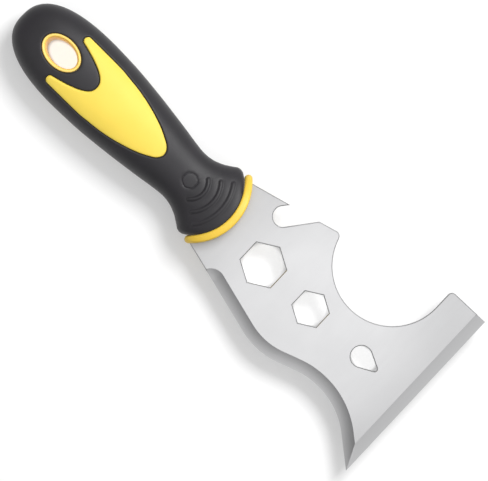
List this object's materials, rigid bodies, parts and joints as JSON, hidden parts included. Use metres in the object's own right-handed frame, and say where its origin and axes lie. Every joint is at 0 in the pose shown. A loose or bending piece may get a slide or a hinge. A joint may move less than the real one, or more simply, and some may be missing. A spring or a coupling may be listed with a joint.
{
  "type": "painters multi tool",
  "caption": "Stiff steel scraper blade with roller notch, pull hook, hexagon sockets and nail slot on a two-colour moulded handle with a hang hole.",
  "frame": {"origin": "under the middle of the tool's box, on the surface that its belly rests on", "axes": "+X along the handle from the butt to the scraping edge, +Y towards the roller notch, +Z out of the face with the ground bevels"},
  "size_m": [0.2148, 0.0794, 0.0256],
  "materials": {
    "blade_steel": "fine satin, ground bevels a little darker",
    "core_plastic": "hidden",
    "grip_rubber": "soft satin with a fine mould grain",
    "panel_plastic": "semi-matt",
    "collar_plastic": "semi-gloss",
    "eyelet_plastic": "semi-gloss"
  },
  "bodies": {
    "root": {"blade": "blade_steel", "handle_core": "core_plastic", "grip": "grip_rubber", "front_panel": "panel_plastic", "back_panel": "panel_plastic", "collar": "collar_plastic", "hang_hole_eyelet": "eyelet_plastic"}
  },
  "joints": []
}
